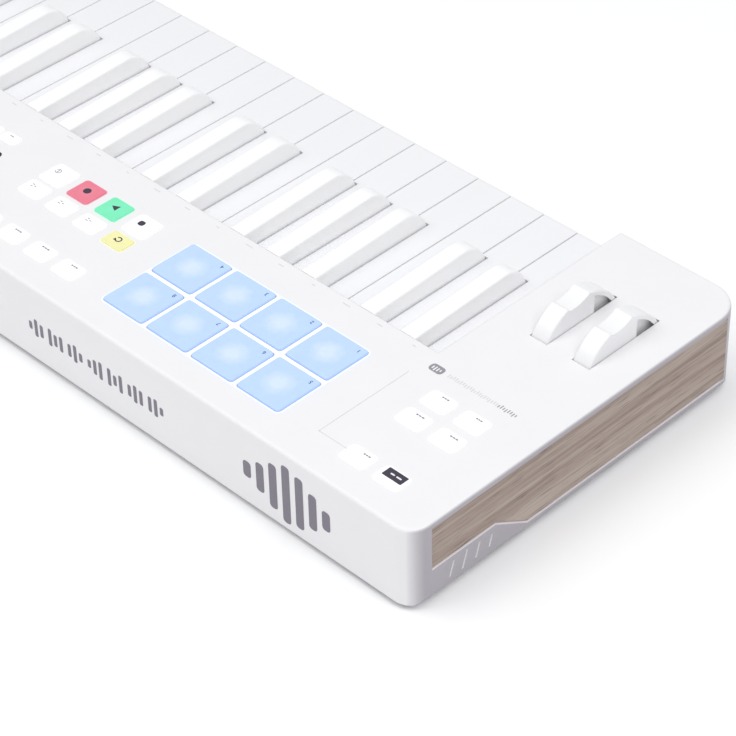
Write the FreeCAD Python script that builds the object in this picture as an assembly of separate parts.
"""A 49-key MIDI controller keyboard: white case, wood side inlays, two wheels, eight lit pads,
a transport section, a display with its browse knob, and nine knobs over nine faders.

Millimetres. The origin is on the surface it stands on, at the centre of the footprint.
+X is the player's right, +Y is the rear, +Z is up. Layout distances are counted as the player
would count them: px() from the left edge of the lowest white key, py() from the white key tips.
"""

import FreeCAD, Part
import math
import os

from FreeCAD import Vector

# ---------------------------------------------------------------- driving dimensions
WIDTH = 781.0               # case, left to right
DEPTH = 239.5               # case, front to rear
FOOT_HEIGHT = 3.5
CASE_BOTTOM = FOOT_HEIGHT
CASE_TOP = 51.0             # control panel surface
WALL = 2.6
SIDE_WALL = 5.4             # deep enough to carry the wood inlay
FRONT_CORNER = 20.5
REAR_CORNER = 12.0
TOP_EDGE = 2.0

WHITE_COUNT = 29
WHITE_PITCH = 23.5
OCTAVE = 7 * WHITE_PITCH
LEFT_BLOCK = 83.4           # wheel block, case side to the lowest key
KEY_TIP_SETBACK = 5.1       # key tips behind the front of the case
KEY_TOP = 41.5
KEY_GAP = 0.6
SLOT_DEPTH = 131.2          # key tips to the panel edge
SLOT_SIDE_GAP = 0.8
FRONT_LIP_TOP = 24.0
KEY_DIP_DEG = 3.0

HALF_W = WIDTH / 2
HALF_D = DEPTH / 2
KEYS_LEFT = -HALF_W + LEFT_BLOCK
KEYS_RIGHT = KEYS_LEFT + WHITE_COUNT * WHITE_PITCH
KEY_TIP = -HALF_D + KEY_TIP_SETBACK
SLOT_LEFT = KEYS_LEFT - SLOT_SIDE_GAP
SLOT_RIGHT = KEYS_RIGHT + SLOT_SIDE_GAP
PANEL_UNDER = CASE_TOP - WALL
FLOOR = CASE_BOTTOM + 2.5   # inside face of the bottom cover

# white keys
WHITE_BOTTOM = 24.0
WHITE_SKIN = 1.6
WHITE_ROOF = 2.4
WHITE_LENGTH = 136.0
TIP_ROUND = 2.5
EDGE_ROUND = 0.6
# black keys: centres within the octave, counted from its C
BLACK_CENTRES = {"cs": 21.15, "ds": 49.35, "fs": 91.2, "gs": 117.5, "as": 143.8}
BLACK_WIDTH = 12.8
BLACK_TOP_WIDTH = 9.8
BLACK_TIP = 50.0
BLACK_END = 130.4
BLACK_NOTCH_GAP = 0.8
BLACK_RISE_FRONT = 11.2
BLACK_RISE_REAR = 8.8
BLACK_BOTTOM = 28.0
# the pivot that all the keys share
PIVOT_Y = 180.0
PIVOT_Z = 22.0
ROD_R = 2.0
ROD_BORE_R = 2.05
PIVOT_BOSS_R = 5.0
TAIL_WIDTH = 9.6
TAIL_Z = (17.0, 29.0)
ACTUATOR_Y = 107.0
ACTUATOR_BOTTOM = 21.7

# wheels
WHEEL_X = {"mod_wheel": -29.0, "pitch_wheel": -56.5}
WHEEL_Y = 64.0
WHEEL_R = 29.2
WHEEL_RISE = 14.6
WHEEL_WIDTH = 10.8
WHEEL_SLOT_WIDTH = 11.4
WHEEL_AXLE_R = 2.5
WHEEL_BORE_R = 2.55
WHEEL_Z = CASE_TOP + WHEEL_RISE - WHEEL_R
WHEEL_POCKET = (13.0, 26.4, 2.5)    # inner and outer radius, depth

# pads
PAD_SIZE = 29.3
PAD_PITCH = 32.6
PAD_CENTRE = (87.0, 185.1)
PAD_RISE = 1.3
PAD_TRAVEL = 1.2

# buttons: (centre x, centre y, width, depth)
BUTTON_RISE = 0.8
BUTTON_TRAVEL = 1.0
DAW_X = [181.0, 203.0, 225.0, 247.0]
DAW_TRANSPORT = (162.2, 16.0, 15.6)
DAW_ROW_2 = (179.2, 15.4, 11.2)
DAW_ROW_3 = (212.2, 15.4, 11.2)
LEFT_X = [-26.7, -48.7]
LEFT_ROWS = [157.9, 175.1, 212.2]
LEFT_SIZE = (15.4, 11.2)
SCREEN_X = [293.0, 307.5, 322.0, 336.5]
SCREEN_SIZE = (12.0, 7.0)
SCREEN_ROW = 158.0
BROWSE_BUTTON_X = [368.5, 387.5]

# display and browse knob
WINDOW = (284.0, 346.0, 170.0, 218.0)
WINDOW_DEPTH = 1.2
WINDOW_LEDGE = 3.0
BROWSE = (378.0, 195.0)
BROWSE_R = 10.5
BROWSE_HEIGHT = 11.5

# knobs and faders
CHANNELS = 9
CHANNEL_X0 = 412.0
CHANNEL_PITCH = 32.2
KNOB_Y = 209.0
KNOB_R = 7.8
KNOB_HEIGHT = 13.5
SHAFT_R = 3.0
SHAFT_BORE_R = 3.05
SHAFT_TOP = 61.0
FADER_Y = 168.0
FADER_TRAVEL = 30.0
FADER_CAP = (11.0, 18.0, 9.0)
FADER_STEM = (1.2, 4.0)

# boards
BOARD = 1.6
BOARD_Z = 33.0              # underside of the control board
BOARD_TOP = BOARD_Z + BOARD
BOARD_Y = (143.2, 217.5)
BOARD_TAB = (455.0, 545.0, 226.5)
SCAN_Z = 12.0
SCAN_Y = (92.0, 122.0)
DOME_TOP = 17.6

# chassis under the keys
CHASSIS_TOP = 8.5
CHASSIS_Y = (3.0, 192.0)

# rear sockets
USB_X = 470.0
MIDI_X = 500.0
PEDAL_X = 532.0
LOCK_X = 640.0
PEDAL_R = 3.25
PEDAL_DEPTH = 29.0
PEDAL_Z = 25.0
MIDI_Z = 21.5
MIDI_FACE = HALF_D - 0.3
MIDI_RECESS = 7.0
USB_Z = 31.2

# side inlay, (y from the key tips, z)
INLAY_FRONT = 10.0
INLAY_REAR = 221.3
INLAY_TOP = 47.5
INLAY_BOTTOM = 9.7
INLAY_STEP = (178.5, 23.2)
INLAY_STEP_FOOT = 156.0
INLAY_RECESS = 2.8
INLAY_THICK = 2.4
INLAY_CLEARANCE = 0.25
SIDE_CHAMFER = 3.0
CORNER_RIBS = [(182.0, 7.0), (190.8, 9.0), (199.6, 11.0), (208.4, 9.0)]     # y and length
CORNER_RIB_LEAN = 17.0
CORNER_RIB_Z = 14.4

# bosses and screws, in the row frame
CASE_BOSSES = [(-330, 109), (-110, 109), (110, 109), (330, 109), (-372, -96), (-322, -96),
               (-372, 30), (381.3, -92), (381.3, 0)]
BOSS_R = 3.4
PILOT_R = 1.3
CHASSIS_SCREWS = [(x, y) for x in (-271.85, -107.35, 57.15, 221.65, 350.9) for y in (-66, 30)]
SCREW_R = 1.25
SCREW_HEAD_R = 2.8
SCREW_HEAD = 1.4
FEET = [(x, y) for x in (-345, 0, 345) for y in (-98, 98)]
FOOT_R = 8.0
VENT_X = [side * (20 + 8 * i) for side in (-1, 1) for i in range(9)]     # clear of the middle foot
VENT_Y = 92.0
VENT_SIZE = (2.4, 22.0)

WHITE_NAMES = ["c", "d", "e", "f", "g", "a", "b"]
SHARP_AFTER = {"c": "cs", "d": "ds", "f": "fs", "g": "gs", "a": "as"}
SHARP_BEFORE = {"d": "cs", "e": "ds", "g": "fs", "a": "gs", "b": "as"}


# ---------------------------------------------------------------- shape helpers
def px(x):
    """X of a layout distance from the left edge of the lowest white key."""
    return KEYS_LEFT + x


def py(y):
    """Y of a layout distance behind the white key tips."""
    return KEY_TIP + y


def box(x0, x1, y0, y1, z0, z1):
    return Part.makeBox(x1 - x0, y1 - y0, z1 - z0, Vector(x0, y0, z0))


def post(x, y, r, z0, z1):
    return Part.makeCylinder(r, z1 - z0, Vector(x, y, z0))


def bar_x(r, x0, x1, y, z):
    return Part.makeCylinder(r, x1 - x0, Vector(x0, y, z), Vector(1, 0, 0))


def prism_z(points, z0, z1):
    ring = [Vector(x, y, z0) for x, y in points]
    return Part.Face(Part.makePolygon(ring + ring[:1])).extrude(Vector(0, 0, z1 - z0))


def prism_x(points, x0, x1):
    ring = [Vector(x0, y, z) for y, z in points]
    return Part.Face(Part.makePolygon(ring + ring[:1])).extrude(Vector(x1 - x0, 0, 0))


def join(first, *others):
    return first.fuse(list(others)).removeSplitter()


def rounded(shape, radius, wanted):
    """Fillets the edges that wanted() picks by their bounding box."""
    edges = [e for e in shape.Edges if wanted(e.BoundBox)]
    return shape.makeFillet(radius, edges)


def upright(b):
    return b.XLength < 1e-4 and b.YLength < 1e-4


def level_at(z):
    return lambda b: b.ZLength < 1e-4 and abs(b.ZMin - z) < 1e-4


def rounded_block(x0, x1, y0, y1, z0, z1, corner, edge=0.0):
    """A block with rounded upright corners and, if edge is given, a rounded top edge."""
    shape = rounded(box(x0, x1, y0, y1, z0, z1), corner, upright)
    return rounded(shape, edge, level_at(z1)) if edge else shape


def centred(x, y, w, d, z0, z1, corner, edge=0.0):
    return rounded_block(x - w / 2, x + w / 2, y - d / 2, y + d / 2, z0, z1, corner, edge)


def write(name, *solids):
    shape = solids[0] if len(solids) == 1 else Part.makeCompound(list(solids))
    shape.exportStep("parts/%s.step" % name)


# ---------------------------------------------------------------- control positions
def pad_places():
    """Pads 1 to 4 are the row nearer the keys, 5 to 8 the row behind, left to right."""
    for row in range(2):
        for column in range(4):
            x = PAD_CENTRE[0] + (column - 1.5) * PAD_PITCH
            y = PAD_CENTRE[1] + (row - 0.5) * PAD_PITCH
            yield "pad_%d" % (4 * row + column + 1), px(x), py(y)


def button_places():
    """Every button as (node, x, y, width, depth). The lit ones have nodes of their own."""
    lit = {(0, 1): "play_button", (0, 2): "record_button", (1, 0): "loop_button"}
    for r, (y, w, d) in enumerate((DAW_TRANSPORT, DAW_ROW_2, DAW_ROW_3)):
        for c, x in enumerate(DAW_X):
            yield lit.get((r, c), "panel_buttons"), px(x), py(y), w, d
    for y in LEFT_ROWS:
        for x in LEFT_X:
            yield "panel_buttons", px(x), py(y), *LEFT_SIZE
    for x in SCREEN_X + BROWSE_BUTTON_X:
        yield "panel_buttons", px(x), py(SCREEN_ROW), *SCREEN_SIZE


def channel_x():
    return [px(CHANNEL_X0 + i * CHANNEL_PITCH) for i in range(CHANNELS)]


# ---------------------------------------------------------------- case
def inlay_outline(grow):
    """The side inlay's outline in Y and Z. It steps up over the moulded corner at the rear foot."""
    slope = (INLAY_STEP[1] - INLAY_BOTTOM) / (INLAY_STEP[0] - INLAY_STEP_FOOT)
    shift = grow * (math.hypot(1, slope) - 1) / slope
    return [
        (py(INLAY_FRONT) - grow, INLAY_TOP + grow),
        (py(INLAY_REAR) + grow, INLAY_TOP + grow),
        (py(INLAY_REAR) + grow, INLAY_STEP[1] - grow),
        (py(INLAY_STEP[0]) + shift, INLAY_STEP[1] - grow),
        (py(INLAY_STEP_FOOT) + shift, INLAY_BOTTOM - grow),
        (py(INLAY_FRONT) - grow, INLAY_BOTTOM - grow),
    ]


def wheel_opening(x):
    """The slot follows the wheel's curve, so its ends slope outward below the panel."""
    clearance = 0.7
    swept = bar_x(WHEEL_R + clearance, x - WHEEL_SLOT_WIDTH / 2, x + WHEEL_SLOT_WIDTH / 2,
                  py(WHEEL_Y), WHEEL_Z)
    return swept.common(box(x - 20, x + 20, -HALF_D, HALF_D, PANEL_UNDER - 1, CASE_TOP + 20))


def corner_ribs(side):
    """Slanted grooves that decorate the moulded corner below the inlay's step."""
    ribs = []
    for y, length in CORNER_RIBS:
        groove = box(-0.6, 0.6, -0.6, 0.6, -length / 2, length / 2)
        groove.rotate(Vector(0, 0, 0), Vector(1, 0, 0), CORNER_RIB_LEAN)
        groove.translate(Vector(side * HALF_W, py(y), CORNER_RIB_Z))
        ribs.append(groove)
    return ribs


def top_case():
    outer = box(-HALF_W, HALF_W, -HALF_D, HALF_D, CASE_BOTTOM, CASE_TOP)
    outer = rounded(outer, FRONT_CORNER, lambda b: upright(b) and b.YMin < 0)
    outer = rounded(outer, REAR_CORNER, lambda b: upright(b) and b.YMin > HALF_D - 1)
    outer = rounded(outer, TOP_EDGE, level_at(CASE_TOP))
    for side in (-1, 1):
        x = side * HALF_W
        wedge = [(x, CASE_BOTTOM + SIDE_CHAMFER), (x - side * SIDE_CHAMFER, CASE_BOTTOM - 0.01),
                 (x + side * 1, CASE_BOTTOM - 0.01), (x + side * 1, CASE_BOTTOM + SIDE_CHAMFER)]
        ring = [Vector(a, -HALF_D - 1, z) for a, z in wedge]
        cut = Part.Face(Part.makePolygon(ring + ring[:1])).extrude(Vector(0, DEPTH + 2, 0))
        outer = outer.cut(cut)

    inner = box(-HALF_W + SIDE_WALL, HALF_W - SIDE_WALL, -HALF_D + WALL, HALF_D - WALL,
                CASE_BOTTOM - 1, PANEL_UNDER)
    inner = rounded(inner, FRONT_CORNER - SIDE_WALL, lambda b: upright(b) and b.YMin < 0)
    inner = rounded(inner, REAR_CORNER - SIDE_WALL, lambda b: upright(b) and b.YMin > 0)
    shell = outer.cut(inner)

    slot = box(SLOT_LEFT, SLOT_RIGHT, -HALF_D - 1, py(SLOT_DEPTH), FRONT_LIP_TOP, CASE_TOP + 1)
    shell = shell.cut(slot)
    wall_z = (8.0, PANEL_UNDER + 0.5)
    front_y = -HALF_D + WALL / 2
    skirt = 2.4
    rear_y = py(SLOT_DEPTH) + skirt
    additions = [
        box(SLOT_LEFT - skirt, SLOT_LEFT, front_y, rear_y, *wall_z),
        box(SLOT_RIGHT, SLOT_RIGHT + skirt, front_y, rear_y, *wall_z),
        box(SLOT_LEFT - skirt, SLOT_RIGHT + skirt, py(SLOT_DEPTH), rear_y, 43.5, wall_z[1]),
    ]
    additions += [post(x, y, BOSS_R, FLOOR, PANEL_UNDER + 0.5) for x, y in CASE_BOSSES]
    shell = join(shell, *additions)

    cuts = [prism_x(inlay_outline(INLAY_CLEARANCE), -HALF_W - 1, -HALF_W + INLAY_RECESS),
            prism_x(inlay_outline(INLAY_CLEARANCE), HALF_W - INLAY_RECESS, HALF_W + 1)]
    cuts += corner_ribs(-1) + corner_ribs(1)
    cuts += [post(x, y, PILOT_R, FLOOR - 1, FLOOR + 12) for x, y in CASE_BOSSES]
    cuts += [wheel_opening(px(x)) for x in WHEEL_X.values()]
    through = (PANEL_UNDER - 1, CASE_TOP + 1)
    cuts += [centred(x, y, PAD_SIZE + 0.6, PAD_SIZE + 0.6, *through, 2.3)
             for _, x, y in pad_places()]
    cuts += [centred(x, y, w + 0.36, d + 0.36, *through, 2.1) for _, x, y, w, d in button_places()]
    for x in channel_x():
        cuts.append(post(x, py(KNOB_Y), 4.4, *through))
        cuts.append(centred(x, py(FADER_Y), 2.4, FADER_TRAVEL + 6, *through, 1.0))
    cuts.append(post(px(BROWSE[0]), py(BROWSE[1]), 4.4, *through))
    x0, x1, y0, y1 = WINDOW
    cuts.append(rounded_block(px(x0) - 0.15, px(x1) + 0.15, py(y0) - 0.15, py(y1) + 0.15,
                              CASE_TOP - WINDOW_DEPTH, CASE_TOP + 1, 3.0))
    cuts.append(rounded_block(px(x0) + WINDOW_LEDGE, px(x1) - WINDOW_LEDGE,
                              py(y0) + WINDOW_LEDGE, py(y1) - WINDOW_LEDGE, *through, 1.5))
    rear = (HALF_D - WALL - 1, HALF_D + 1)
    cuts.append(box(px(USB_X) - 4.9, px(USB_X) + 4.9, *rear, USB_Z - 1.9, USB_Z + 1.9))
    cuts.append(Part.makeCylinder(8.6, 6, Vector(px(MIDI_X), rear[0], MIDI_Z), Vector(0, 1, 0)))
    cuts.append(Part.makeCylinder(5.6, 6, Vector(px(PEDAL_X), rear[0], PEDAL_Z), Vector(0, 1, 0)))
    cuts.append(box(px(LOCK_X) - 3.5, px(LOCK_X) + 3.5, *rear, 20.0, 23.0))
    shell = shell.cut(Part.makeCompound(cuts))
    return max(shell.Solids, key=lambda s: s.Volume)


def bottom_cover():
    inset = 0.3
    plate = box(-HALF_W + SIDE_WALL + inset, HALF_W - SIDE_WALL - inset,
                -HALF_D + WALL + inset, HALF_D - WALL - inset, CASE_BOTTOM, FLOOR)
    plate = rounded(plate, FRONT_CORNER - SIDE_WALL, lambda b: upright(b) and b.YMin < 0)
    plate = rounded(plate, REAR_CORNER - SIDE_WALL, lambda b: upright(b) and b.YMin > 0)
    holes = []
    for x, y in CASE_BOSSES + CHASSIS_SCREWS:
        holes.append(post(x, y, SCREW_R + 0.3, CASE_BOTTOM - 1, FLOOR + 1))
        holes.append(post(x, y, SCREW_HEAD_R + 0.3, CASE_BOTTOM - 1, CASE_BOTTOM + SCREW_HEAD + 0.1))
    vents = [centred(x, VENT_Y, *VENT_SIZE, CASE_BOTTOM - 1, FLOOR + 1, 1.1) for x in VENT_X]
    return plate.cut(Part.makeCompound(holes + vents))


def wood_inlay(side):
    outer = HALF_W - (INLAY_RECESS - INLAY_THICK)
    inner = outer - INLAY_THICK
    x0, x1 = sorted((side * inner, side * outer))
    return prism_x(inlay_outline(0.0), x0, x1)


def screws():
    made = []
    for places, top in ((CASE_BOSSES, FLOOR + 9.0), (CHASSIS_SCREWS, CHASSIS_TOP + 3.0)):
        for x, y in places:
            shank = post(x, y, SCREW_R, CASE_BOTTOM + 0.5, top)
            head = post(x, y, SCREW_HEAD_R, CASE_BOTTOM + 0.1, CASE_BOTTOM + SCREW_HEAD)
            driver = box(x - 1.8, x + 1.8, y - 0.35, y + 0.35, CASE_BOTTOM, CASE_BOTTOM + 0.8)
            cross = box(x - 0.35, x + 0.35, y - 1.8, y + 1.8, CASE_BOTTOM, CASE_BOTTOM + 0.8)
            made.append(join(shank, head).cut(Part.makeCompound([driver, cross])))
    return made


def feet():
    return [rounded(post(x, y, FOOT_R, 0, CASE_BOTTOM), 0.8, level_at(0)) for x, y in FEET]


# ---------------------------------------------------------------- keys
def pivot_end(x):
    """The tail that runs back under the control board and turns on the rod."""
    z0, z1 = TAIL_Z
    x0, x1 = x - TAIL_WIDTH / 2, x + TAIL_WIDTH / 2
    web = box(x0, x1, py(128), py(PIVOT_Y), z0, z1)
    neck = box(x0, x1, py(128), py(WHITE_LENGTH), z0, KEY_TOP - 0.5)
    boss = bar_x(PIVOT_BOSS_R, x0, x1, py(PIVOT_Y), PIVOT_Z)
    lighten = box(x0 + 1.6, x1 - 1.6, py(137), py(PIVOT_Y - 8), z0 - 1, z1 - 2.0)
    bore = bar_x(ROD_BORE_R, x0 - 1, x1 + 1, py(PIVOT_Y), PIVOT_Z)
    return join(web, neck, boss).cut(Part.makeCompound([lighten, bore]))


def actuator(x, top):
    return box(x - 3, x + 3, py(ACTUATOR_Y) - 2.5, py(ACTUATOR_Y) + 2.5, ACTUATOR_BOTTOM, top)


def black_edges(x, sharp):
    """Left and right sides of a black key's notch, or None where there is no black key."""
    if sharp is None:
        return None
    half = BLACK_WIDTH / 2 + BLACK_NOTCH_GAP / 2 + 0.3
    return x + BLACK_CENTRES[sharp] - half, x + BLACK_CENTRES[sharp] + half


def white_key(index):
    """A white key: a hollow cap, notched beside its black neighbours, and its tail."""
    name = WHITE_NAMES[index % 7]
    octave_x = px((index // 7) * OCTAVE)
    last = index == WHITE_COUNT - 1
    x0 = px(index * WHITE_PITCH) + KEY_GAP / 2
    x1 = px((index + 1) * WHITE_PITCH) - KEY_GAP / 2
    before = black_edges(octave_x, SHARP_BEFORE.get(name))
    after = None if last else black_edges(octave_x, SHARP_AFTER.get(name))
    rear0 = before[1] if before else x0
    rear1 = after[0] if after else x1
    notch, end = py(BLACK_TIP - BLACK_NOTCH_GAP), py(WHITE_LENGTH)

    def outline(inset):
        points = [(x0 + inset, KEY_TIP + inset), (x1 - inset, KEY_TIP + inset)]
        points += [(x1 - inset, notch - inset), (rear1 - inset, notch - inset)] if after else []
        points += [(rear1 - inset, end - inset), (rear0 + inset, end - inset)]
        points += [(rear0 + inset, notch - inset), (x0 + inset, notch - inset)] if before else []
        return points

    cap = prism_z(outline(0), WHITE_BOTTOM, KEY_TOP)
    tip = lambda b: level_at(KEY_TOP)(b) and b.YMax < KEY_TIP + 0.1
    cap = rounded(cap, TIP_ROUND, tip)
    sides = lambda b: (level_at(KEY_TOP)(b) and b.YMax < end - 0.1
                       or upright(b) and b.YMin < KEY_TIP + 0.1)
    cap = rounded(cap, EDGE_ROUND, sides)
    hollow = prism_z(outline(WHITE_SKIN), WHITE_BOTTOM - 1, KEY_TOP - WHITE_ROOF)
    tail_x = octave_x + 7.2 if last else (rear0 + rear1) / 2
    key = join(cap.cut(hollow), pivot_end(tail_x), actuator(tail_x, KEY_TOP - WHITE_ROOF + 0.5))
    return key, tail_x


def tangent_middle(start, end, onward):
    """Middle point of the arc from start to end that runs smoothly on toward onward, at one X."""
    run = (onward - end).normalize()
    down = Vector(0, run.z, -run.y)
    chord = end - start
    radius = -chord.dot(chord) / (2 * down.dot(chord))
    centre = end + down * radius
    return centre + ((start - centre) + (end - centre)).normalize() * radius


def black_key(octave, sharp):
    """A black key's body, with a rounded nose, leaning sides and a top that falls to the rear."""
    x = px(octave * OCTAVE) + BLACK_CENTRES[sharp]
    half = BLACK_WIDTH / 2
    top_front, top_rear = KEY_TOP + BLACK_RISE_FRONT, KEY_TOP + BLACK_RISE_REAR
    lip = Vector(x - half, py(BLACK_TIP), KEY_TOP - 1.0)
    crown = Vector(x - half, py(BLACK_TIP + 15.0), top_front)
    rear_top = Vector(x - half, py(BLACK_END), top_rear)
    rear_foot = Vector(x - half, py(BLACK_END), BLACK_BOTTOM)
    front_foot = Vector(x - half, py(BLACK_TIP), BLACK_BOTTOM)
    profile = Part.Wire([
        Part.makeLine(front_foot, lip),
        Part.Arc(lip, tangent_middle(lip, crown, rear_top), crown).toShape(),
        Part.makeLine(crown, rear_top),
        Part.makeLine(rear_top, rear_foot),
        Part.makeLine(rear_foot, front_foot),
    ])
    body = Part.Face(profile).extrude(Vector(BLACK_WIDTH, 0, 0))
    lean = (BLACK_WIDTH - BLACK_TOP_WIDTH) / 2
    for side in (-1, 1):
        ring = [Vector(x + side * half, py(BLACK_TIP) - 1, KEY_TOP - 1),
                Vector(x + side * (half - lean), py(BLACK_TIP) - 1, top_front + 0.5),
                Vector(x + side * (half + 2), py(BLACK_TIP) - 1, top_front + 0.5),
                Vector(x + side * (half + 2), py(BLACK_TIP) - 1, KEY_TOP - 1)]
        wedge = Part.Face(Part.makePolygon(ring + ring[:1]))
        body = body.cut(wedge.extrude(Vector(0, BLACK_END - BLACK_TIP + 2, 0)))
    crest = lambda b: (b.XLength < 1.9 and b.YLength > 8 and b.ZMax > KEY_TOP + 5.0)
    body = rounded(body, 1.3, crest)
    hollow = box(x - half + 2.2, x + half - 2.2, py(BLACK_TIP) + 2.5, py(BLACK_END) - 2,
                 BLACK_BOTTOM - 1, KEY_TOP + 1.0)
    return join(body.cut(hollow), pivot_end(x), actuator(x, KEY_TOP + 1.5)), x


def all_keys():
    """Every key as {(octave, note): (solid, tail x)}, octave 0 being the lowest."""
    keys = {}
    for i in range(WHITE_COUNT):
        keys[(i // 7, WHITE_NAMES[i % 7])] = white_key(i)
    for octave in range(WHITE_COUNT // 7):
        for sharp in BLACK_CENTRES:
            keys[(octave, sharp)] = black_key(octave, sharp)
    return keys


def rod_supports():
    """X of the chassis ribs that carry the rod, in the free gaps between tails."""
    ribs = [px(1.1), px(WHITE_COUNT * WHITE_PITCH - 1.2)]
    for octave in range(WHITE_COUNT // 7):
        ribs.append(px(octave * OCTAVE + 70.4))
        if octave:
            ribs.append(px(octave * OCTAVE + 0.1))
    return sorted(ribs)


def key_chassis(tails):
    """A tray with key guides, the front stop rail, board supports and the rod's ribs."""
    x0, x1 = KEYS_LEFT + 0.2, KEYS_RIGHT - 0.2
    tray = box(x0, x1, py(CHASSIS_Y[0]), py(CHASSIS_Y[1]), FLOOR, CHASSIS_TOP)
    parts = [box(x0, x1, py(10), py(13), CHASSIS_TOP - 1, 13.6)]
    for (_, note), tail_x, centre_x in tails:
        y = py(25) if note in WHITE_NAMES else py(66)
        parts.append(box(centre_x - 2.5, centre_x + 2.5, y - 3.5, y + 3.5, CHASSIS_TOP - 1, 28))
    for x in rod_supports():
        leg = box(x - 0.8, x + 0.8, py(170), py(190), CHASSIS_TOP - 1, 27.5)
        parts.append(leg)
    for x in range(7):
        at = px(30 + x * 103.0)
        parts.append(box(at - 3, at + 3, py(SCAN_Y[0] + 2), py(SCAN_Y[1] - 2), CHASSIS_TOP - 1, SCAN_Z))
    bosses = [post(x, y, 3.2, CHASSIS_TOP - 1, CHASSIS_TOP + 3.5) for x, y in CHASSIS_SCREWS]
    body = join(tray, *parts, *bosses)
    cuts = [bar_x(ROD_BORE_R, x0 - 5, x1 + 5, py(PIVOT_Y), PIVOT_Z)]
    cuts += [post(x, y, PILOT_R, FLOOR - 1, CHASSIS_TOP + 3.6) for x, y in CHASSIS_SCREWS]
    return body.cut(Part.makeCompound(cuts))


def scan_board():
    return box(KEYS_LEFT + 2, KEYS_RIGHT - 2, py(SCAN_Y[0]), py(SCAN_Y[1]), SCAN_Z, SCAN_Z + BOARD)


def contact_strip(tails):
    base_z = SCAN_Z + BOARD
    strip = box(KEYS_LEFT + 3, KEYS_RIGHT - 3, py(ACTUATOR_Y - 7), py(ACTUATOR_Y + 7),
                base_z, base_z + 1.2)
    domes = [Part.makeCone(4.2, 3.2, DOME_TOP - base_z - 1, Vector(x, py(ACTUATOR_Y), base_z + 1))
             for _, x, _ in tails]
    return join(strip, *domes)


# ---------------------------------------------------------------- wheels
def wheel(x):
    """A wheel with a finger dimple at its crown and axle stubs that turn in the bracket."""
    y, z = py(WHEEL_Y), WHEEL_Z
    disc = bar_x(WHEEL_R, x - WHEEL_WIDTH / 2, x + WHEEL_WIDTH / 2, y, z)
    disc = disc.cut(box(x - 10, x + 10, y - 40, y + 40, z - 40, z - 16))
    disc = rounded(disc, 0.9, lambda b: b.XLength < 1e-4 and b.ZLength > 30)
    crown = z + WHEEL_R
    notch = [(y + 11.0, crown - 0.6), (y + 10.0, crown - 3.0), (y + 6.6, crown - 3.7),
             (y + 2.0, crown - 3.3), (y - 3.6, crown - 1.4), (y - 7.0, crown + 0.6),
             (y - 7.0, crown + 3.0), (y + 11.0, crown + 3.0)]
    curve = Part.BSplineCurve()
    curve.interpolate([Vector(x - 10, a, b) for a, b in notch[:6]])
    edges = [curve.toShape()]
    edges += [Part.makeLine(Vector(x - 10, *notch[i]), Vector(x - 10, *notch[(i + 1) % 8]))
              for i in (5, 6, 7)]
    disc = disc.cut(Part.Face(Part.Wire(edges)).extrude(Vector(20, 0, 0)))
    inner_r, outer_r, depth = WHEEL_POCKET
    pockets = []
    for side in (-1, 1):
        face = x + side * WHEEL_WIDTH / 2
        span = sorted((face, face - side * depth))
        ring = bar_x(outer_r, *span, y, z).cut(bar_x(inner_r, *span, y, z))
        pockets.append(ring.common(box(*span, y - 30, y - 9, z + 4, z + 30)))
    disc = disc.cut(Part.makeCompound(pockets))
    outward = 1 if x > sum(px(v) for v in WHEEL_X.values()) / 2 else -1
    ends = sorted((x + outward * 16.0, x - outward * 13.4))
    return join(disc, bar_x(WHEEL_AXLE_R, *ends, y, z))


def wheel_bracket():
    y, z = py(WHEEL_Y), WHEEL_Z
    mod_x, pitch_x = px(WHEEL_X["mod_wheel"]), px(WHEEL_X["pitch_wheel"])
    middle = (mod_x + pitch_x) / 2
    base = box(pitch_x - 13, mod_x + 13, y - 22, y + 22, FLOOR, FLOOR + 0.8)
    plates = [(mod_x + 10.5, 1.5), (pitch_x - 10.5, 1.5), (middle, 1.5)]
    cheeks = []
    for x, half in plates:
        cheek = prism_x([(y - 20, FLOOR), (y + 20, FLOOR), (y + 9, z + 7), (y - 9, z + 7)],
                        x - half, x + half)
        cheeks.append(cheek)
    body = join(base, *cheeks)
    bores = [bar_x(WHEEL_BORE_R, mod_x - 17, mod_x + 17, y, z),
             bar_x(WHEEL_BORE_R, pitch_x - 17, pitch_x + 17, y, z)]
    return body.cut(Part.makeCompound(bores))


def wheel_sensors():
    """The rotary sensor of each wheel, on the bracket's outer cheeks."""
    y, z = py(WHEEL_Y), WHEEL_Z
    made = []
    for x, side in ((px(WHEEL_X["mod_wheel"]), 1), (px(WHEEL_X["pitch_wheel"]), -1)):
        face = x + side * 12.0
        body = bar_x(8.0, *sorted((face, face + side * 6.0)), y, z)
        legs = box(*sorted((face + side * 1.5, face + side * 4.5)), y - 5, y + 5, z - 15, z - 5)
        bore = bar_x(WHEEL_BORE_R, face - 7, face + 7, y, z)
        made.append(join(body, legs).cut(bore))
    return made


# ---------------------------------------------------------------- pads, buttons, knobs, faders
def pad(x, y):
    top = rounded_block(x - PAD_SIZE / 2, x + PAD_SIZE / 2, y - PAD_SIZE / 2, y + PAD_SIZE / 2,
                        44.5, CASE_TOP + PAD_RISE, 2.0, 0.7)
    flange = centred(x, y, PAD_SIZE + 1.8, PAD_SIZE + 1.8, 44.5, 46.8, 2.4)
    plunger = centred(x, y, 20, 20, 36.6, 45, 2.0)
    return join(top, flange, plunger)


def button(x, y, w, d):
    cap = centred(x, y, w, d, 45.6, CASE_TOP + BUTTON_RISE, 1.9, 0.6)
    flange = centred(x, y, w + 1.6, d + 1.6, 45.6, 47.2, 2.2)
    plunger = post(x, y, 2.0, 36.2, 46)
    return join(cap, flange, plunger)


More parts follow.
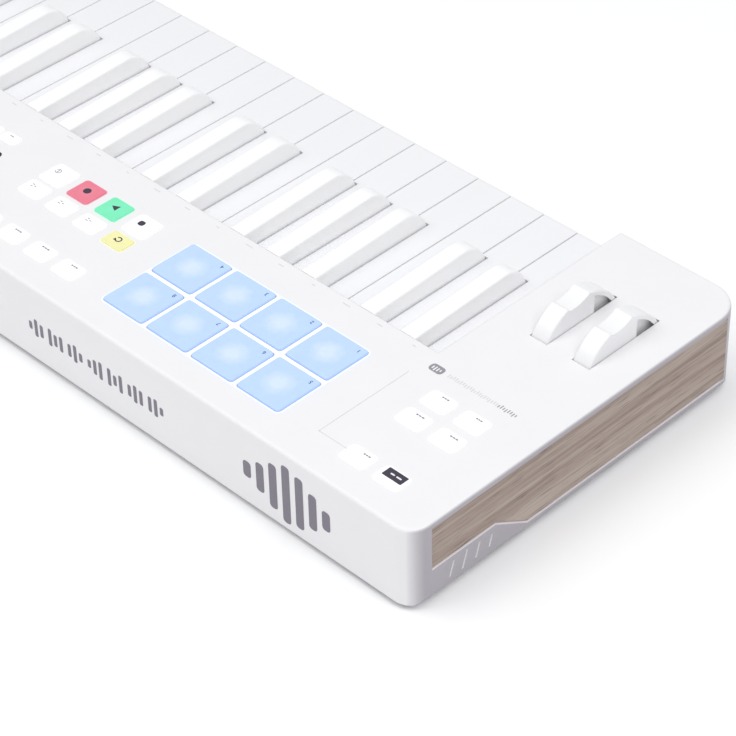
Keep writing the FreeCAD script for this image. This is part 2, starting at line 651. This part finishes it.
def turned(x, y, radius, z0, height, flutes):
    """A knob: tapered, softly domed, fluted, with a pointer groove and a blind shaft bore."""
    top = z0 + height
    body = Part.makeCone(radius, radius - 0.7, height, Vector(x, y, z0))
    body = rounded(body, 0.9, level_at(top))
    cuts = [post(x, y, SHAFT_BORE_R, z0 - 1, SHAFT_TOP + 0.4)]
    for i in range(flutes):
        a = 2 * math.pi * i / flutes
        cuts.append(post(x + (radius + 0.15) * math.cos(a), y + (radius + 0.15) * math.sin(a),
                         0.5, z0 + 2.0, top - 2.2))
    cuts.append(box(x - 0.5, x + 0.5, y + radius * 0.35, y + radius + 1, top - 0.5, top + 1))
    return body.cut(Part.makeCompound(cuts))


def encoders():
    places = [(x, py(KNOB_Y)) for x in channel_x()] + [(px(BROWSE[0]), py(BROWSE[1]))]
    made = []
    for x, y in places:
        can = box(x - 6.2, x + 6.2, y - 6.2, y + 6.2, BOARD_TOP, BOARD_TOP + 6.5)
        bush = post(x, y, 3.6, BOARD_TOP + 6, BOARD_TOP + 12)
        made.append(join(can, bush, post(x, y, SHAFT_R, BOARD_TOP + 6, SHAFT_TOP)))
    return made


def fader_cap(x):
    y = py(FADER_Y)
    w, d, h = FADER_CAP
    z0 = CASE_TOP + 0.8
    cap = centred(x, y, w, d, z0, z0 + h, 1.4, 0.8)
    saddle_r = 14.0
    cap = cap.cut(bar_x(saddle_r, x - 10, x + 10, y, z0 + h + saddle_r - 2.6))
    line = box(x - w, x + w, y - 0.45, y + 0.45, z0 + h - 3.2, z0 + h)
    stem = box(x - FADER_STEM[0] / 2, x + FADER_STEM[0] / 2,
               y - FADER_STEM[1] / 2, y + FADER_STEM[1] / 2, 38.0, z0 + 1)
    return join(cap.cut(line), stem)


def fader_bodies():
    made = []
    for x in channel_x():
        y = py(FADER_Y)
        can = box(x - 4.2, x + 4.2, y - 22.5, y + 22.5, BOARD_TOP, BOARD_TOP + 7)
        made.append(can.cut(box(x - 1.0, x + 1.0, y - 18.2, y + 18.2, 37.0, BOARD_TOP + 8)))
    return made


# ---------------------------------------------------------------- electronics
def control_board():
    board = box(px(-61), px(688), py(BOARD_Y[0]), py(BOARD_Y[1]), BOARD_Z, BOARD_TOP)
    tab = box(px(BOARD_TAB[0]), px(BOARD_TAB[1]), py(BOARD_Y[1]) - 1, py(BOARD_TAB[2]),
              BOARD_Z, BOARD_TOP)
    return join(board, tab)


def board_stands():
    """Posts from the panel's underside that the control board is screwed to."""
    places = [(-37.7, 194), (-1, 146), (164, 194), (269, 165), (355, 209), (396, 190), (680, 150)]
    return [(px(x), py(y)) for x, y in places]


def display_window():
    x0, x1, y0, y1 = WINDOW
    return rounded_block(px(x0), px(x1), py(y0), py(y1), CASE_TOP - WINDOW_DEPTH, CASE_TOP, 2.8)


def display_module():
    x0, x1, y0, y1 = WINDOW
    can = box(px(x0) + 1.5, px(x1) - 1.5, py(y0) + 2, py(y1) - 2, PANEL_UNDER - 4.2, PANEL_UNDER - 0.3)
    face = box(px(x0) + 4, px(x1) - 4, py(y0) + 4, py(y1) - 4, PANEL_UNDER - 1, PANEL_UNDER + 0.9)
    leg_z = (BOARD_TOP, PANEL_UNDER - 4)
    legs = [post(px(x), py(y), 1.6, *leg_z) for x in (x0 + 4, x1 - 4) for y in (y0 + 5, y1 - 5)]
    return join(can, face, *legs)


def usb_socket():
    x = px(USB_X)
    rear = HALF_D - 0.4
    shell = box(x - 4.5, x + 4.5, rear - 7.4, rear, USB_Z - 1.6, BOARD_Z)
    hollow = rounded(box(x - 4.2, x + 4.2, rear - 6.2, rear + 1, USB_Z - 1.25, USB_Z + 1.25), 1.2,
                     lambda b: b.XLength < 1e-4 and b.ZLength < 1e-4)
    tongue = box(x - 3.2, x + 3.2, rear - 7, rear - 1.2, USB_Z - 0.35, USB_Z + 0.35)
    return join(shell.cut(hollow), tongue)


def midi_socket():
    """The housing, with the round recess that a plug's shield goes into."""
    x = px(MIDI_X)
    axis = Vector(0, 1, 0)
    body = box(x - 9.8, x + 9.8, MIDI_FACE - 15.7, HALF_D - WALL - 0.4, MIDI_Z - 10, BOARD_Z)
    nose = Part.makeCylinder(8.4, 15.7, Vector(x, MIDI_FACE - 15.7, MIDI_Z), axis)
    recess = Part.makeCylinder(7.0, MIDI_RECESS + 1, Vector(x, MIDI_FACE - MIDI_RECESS, MIDI_Z), axis)
    return join(body, nose).cut(recess)


def midi_insert():
    """The block inside the recess, with five pin holes on a half circle."""
    x = px(MIDI_X)
    axis = Vector(0, 1, 0)
    floor = MIDI_FACE - MIDI_RECESS
    block = Part.makeCylinder(5.6, MIDI_RECESS - 0.4, Vector(x, floor, MIDI_Z), axis)
    pins = []
    for i in range(5):
        a = math.radians(180 + 45 * i)
        pins.append(Part.makeCylinder(0.8, MIDI_RECESS, Vector(x + 3.4 * math.cos(a), floor + 1,
                                                               MIDI_Z - 3.4 * math.sin(a)), axis))
    return block.cut(Part.makeCompound(pins))


def pedal_socket():
    x = px(PEDAL_X)
    axis = Vector(0, 1, 0)
    rear = HALF_D
    body = box(x - 7.5, x + 7.5, rear - PEDAL_DEPTH - 3, rear - WALL - 0.4, PEDAL_Z - 7, BOARD_Z)
    nose = Part.makeCylinder(5.4, WALL + 2, Vector(x, rear - WALL - 2, PEDAL_Z), axis)
    bore = Part.makeCylinder(PEDAL_R, PEDAL_DEPTH, Vector(x, rear - PEDAL_DEPTH, PEDAL_Z), axis)
    return join(body, nose).cut(bore)


# ---------------------------------------------------------------- the whole keyboard
def main():
    os.makedirs("parts", exist_ok=True)
    keys = all_keys()
    tails = []
    for (octave, note), (solid, tail_x) in sorted(keys.items()):
        if note in WHITE_NAMES:
            index = octave * 7 + WHITE_NAMES.index(note)
            centre_x = px((index + 0.5) * WHITE_PITCH)
        else:
            centre_x = tail_x
        tails.append(((octave, note), tail_x, centre_x))

    stands = [post(x, y, 3.0, BOARD_TOP, PANEL_UNDER + 0.5) for x, y in board_stands()]
    write("top_case", join(top_case(), *stands))
    write("bottom_cover", bottom_cover())
    write("wood_inlays", wood_inlay(-1), wood_inlay(1))
    write("case_screws", *screws())
    write("rubber_feet", *feet())

    write("key_chassis", key_chassis(tails))
    write("key_pivot_rod", bar_x(ROD_R, KEYS_LEFT + 0.4, KEYS_RIGHT - 0.4, py(PIVOT_Y), PIVOT_Z))
    write("key_scan_board", scan_board())
    write("key_contact_strip", contact_strip(tails))
    for note in WHITE_NAMES + list(BLACK_CENTRES):
        write("key_" + note, keys[(0, note)][0])
    for octave in range(1, 4):
        low_end = [k for k in keys if k[0] == octave or (octave == 3 and k[0] == 4)]
        write("keys_octave_%d" % (octave + 1), *[keys[k][0] for k in sorted(low_end)])

    for name, x in WHEEL_X.items():
        write(name, wheel(px(x)))
    write("wheel_bracket", wheel_bracket())
    write("wheel_sensors", *wheel_sensors())

    for name, x, y in pad_places():
        write(name, pad(x, y))
    buttons = {}
    for name, x, y, w, d in button_places():
        buttons.setdefault(name, []).append(button(x, y, w, d))
    for name, solids in buttons.items():
        write(name, *solids)
    for i, x in enumerate(channel_x()):
        write("knob_%d" % (i + 1), turned(x, py(KNOB_Y), KNOB_R, CASE_TOP + 0.8, KNOB_HEIGHT, 24))
    write("browse_knob", turned(px(BROWSE[0]), py(BROWSE[1]), BROWSE_R, CASE_TOP + 0.8,
                                BROWSE_HEIGHT, 32))
    write("fader_caps", *[fader_cap(x) for x in channel_x()])

    write("encoder_bodies", *encoders())
    write("fader_bodies", *fader_bodies())
    write("control_board", control_board())
    write("display_window", display_window())
    write("display_module", display_module())
    write("usb_socket", usb_socket())
    write("midi_socket", midi_socket())
    write("midi_insert", midi_insert())
    write("pedal_socket", pedal_socket())


main()
